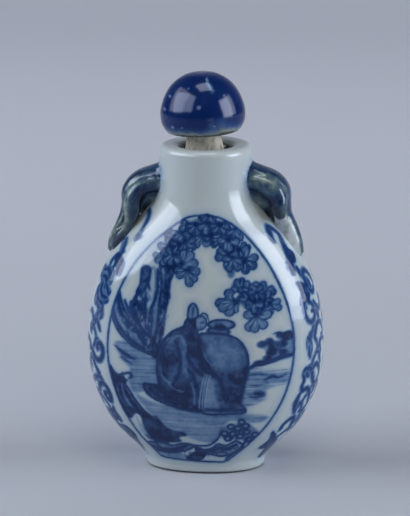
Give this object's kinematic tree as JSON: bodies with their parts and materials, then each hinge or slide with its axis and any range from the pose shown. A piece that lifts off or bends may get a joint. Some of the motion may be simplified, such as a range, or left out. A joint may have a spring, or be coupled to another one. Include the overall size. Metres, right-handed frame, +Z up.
{
  "type": "snuff bottle",
  "caption": "Flattened pear-shaped porcelain snuff bottle painted in underglaze blue, with scroll handles at the neck and a domed blue stopper on a cork.",
  "frame": {"origin": "centre of the foot ring's underside, on the surface that the bottle stands on", "axes": "+Z up along the neck, -Y out of the painted front face, +X through the handle on the viewer's right"},
  "size_m": [0.0474, 0.028, 0.0798],
  "materials": {
    "porcelain": "clear glossy glaze over underglaze cobalt painting",
    "blue_glaze": "glossy deep blue glaze",
    "cork": "dry cut cork"
  },
  "bodies": {
    "root": {"bottle": "porcelain", "stopper_cap": "blue_glaze", "stopper_cork": "cork"}
  },
  "joints": []
}
